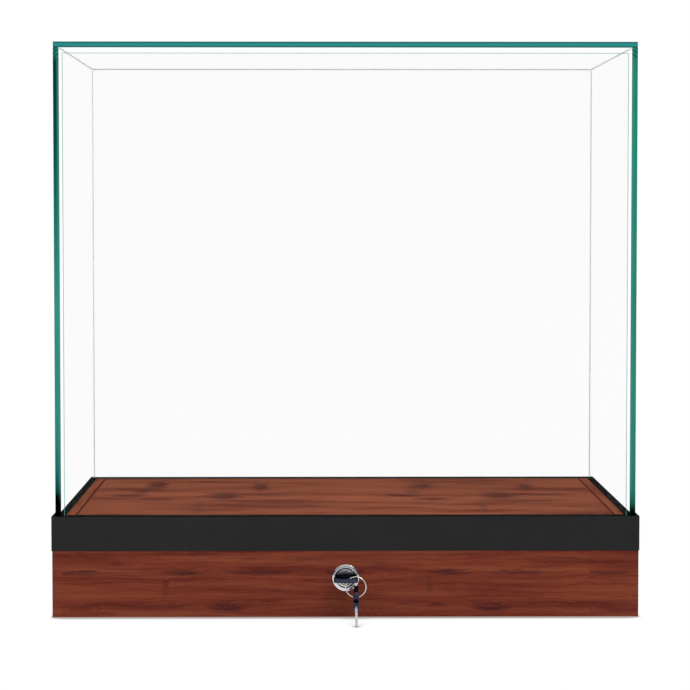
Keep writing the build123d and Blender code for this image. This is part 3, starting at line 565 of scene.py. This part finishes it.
def white_counter():
    """The counter: white to the camera and in reflections, with a soft shadow close to the case."""
    case_side = cad_box[1].x
    shade_from = case_side - shade_inside
    bpy.ops.object.select_all(action="DESELECT")
    bpy.ops.mesh.primitive_grid_add(x_subdivisions=2, y_subdivisions=2, size=counter_width)
    counter = bpy.context.object
    counter.name = "counter"
    material, tree = new_material("white_counter")
    open_share = add(tree, "AmbientOcclusion", {"samples": 16}, output="AO", Distance=shade_reach)
    lit = add(tree, "MapRange", Value=open_share, From_Min=shade_full, From_Max=shade_gone)
    outward = add(tree, "SeparateXYZ", Vector=add(tree, "TexCoord", output="Object"), output="X")
    outward = add(tree, "Math", {"operation": "ABSOLUTE"}, in0=outward)
    beside = add(tree, "MapRange", Value=outward, From_Min=shade_from, From_Max=case_side + shade_beside)
    lit = add(tree, "Math", {"operation": "MAXIMUM"}, in0=lit, in1=beside)
    colour = add(tree, "Mix", {"data_type": "RGBA"}, output=2, in0=lit, in6=srgb("ab9f9c"),
                 in7=srgb("ffffff"))
    shown = add(tree, "Emission", Color=colour, Strength=1.0)
    matt = add(tree, "BsdfDiffuse", Color=srgb("e6e6e6"))
    camera_ray = add(tree, "LightPath", output="Is Camera Ray")
    glossy_ray = add(tree, "LightPath", output="Is Glossy Ray")
    glass_ray = add(tree, "LightPath", output="Is Transmission Ray")
    seen = add(tree, "Math", {"operation": "ADD"}, in0=camera_ray, in1=glossy_ray)
    seen = add(tree, "Math", {"operation": "ADD", "use_clamp": True}, in0=seen, in1=glass_ray)
    add(tree, "OutputMaterial", Surface=add(tree, "MixShader", in0=seen, in1=matt, in2=shown))
    counter.data.materials.append(material)


def studio_world():
    """White behind the case, darker behind the camera so that metal and glass have something to mirror."""
    world = bpy.data.worlds.new("studio")
    bpy.context.scene.world = world
    world.use_nodes = True
    tree = world.node_tree
    tree.nodes.clear()
    camera_ray = add(tree, "LightPath", output="Is Camera Ray")
    glossy_ray = add(tree, "LightPath", output="Is Glossy Ray")
    glass_ray = add(tree, "LightPath", output="Is Transmission Ray")
    clear = add(tree, "Math", {"operation": "ADD", "use_clamp": True}, in0=camera_ray, in1=glass_ray)
    towards = add(tree, "SeparateXYZ", output="Y", Vector=add(tree, "TexCoord", output="Generated"))
    mirrored = add(tree, "MapRange", Value=towards, From_Min=back_from, From_Max=back_full,
                   To_Min=mirrored_front, To_Max=mirrored_back)
    upwards = add(tree, "SeparateXYZ", output="Z", Vector=add(tree, "TexCoord", output="Generated"))
    ceiling = add(tree, "MapRange", Value=upwards, From_Min=ceiling_from, From_Max=ceiling_full)
    mirrored = add(tree, "Math", {"operation": "MAXIMUM"}, in0=mirrored, in1=ceiling)
    strength = add(tree, "Mix", {"data_type": "FLOAT"}, in0=glossy_ray, in2=room_light, in3=mirrored)
    strength = add(tree, "Mix", {"data_type": "FLOAT"}, in0=clear, in2=strength, in3=1.0)
    light = add(tree, "Background", Color=(1, 1, 1, 1), Strength=strength)
    add(tree, "OutputWorld", Surface=light)


def softbox(name, place, aim, size, watts):
    """A large square lamp at a place, turned to its aim."""
    data = bpy.data.lights.new(name, "AREA")
    data.shape = "SQUARE"
    data.size = size
    data.energy = watts
    lamp = bpy.data.objects.new(name, data)
    bpy.context.scene.collection.objects.link(lamp)
    lamp.location = place
    lamp.rotation_euler = (Vector(aim) - Vector(place)).to_track_quat("-Z", "Y").to_euler()


def photo_camera():
    """The camera that sees the case as the photograph does."""
    data = bpy.data.cameras.new("photo_camera")
    data.sensor_width = sensor_width
    data.sensor_fit = "HORIZONTAL"
    data.lens = camera_lens
    data.clip_end = camera_reach
    camera = bpy.data.objects.new("photo_camera", data)
    bpy.context.scene.collection.objects.link(camera)
    camera.location = camera_place
    ahead = cos(camera_pitch)
    forward = Vector((-sin(camera_yaw) * ahead, cos(camera_yaw) * ahead, -sin(camera_pitch)))
    camera.rotation_euler = forward.to_track_quat("-Z", "Y").to_euler()
    bpy.context.scene.camera = camera


white_counter()
studio_world()
for lamp in lamps:
    softbox(*lamp)
photo_camera()
bpy.context.scene.view_settings.view_transform = "Standard"
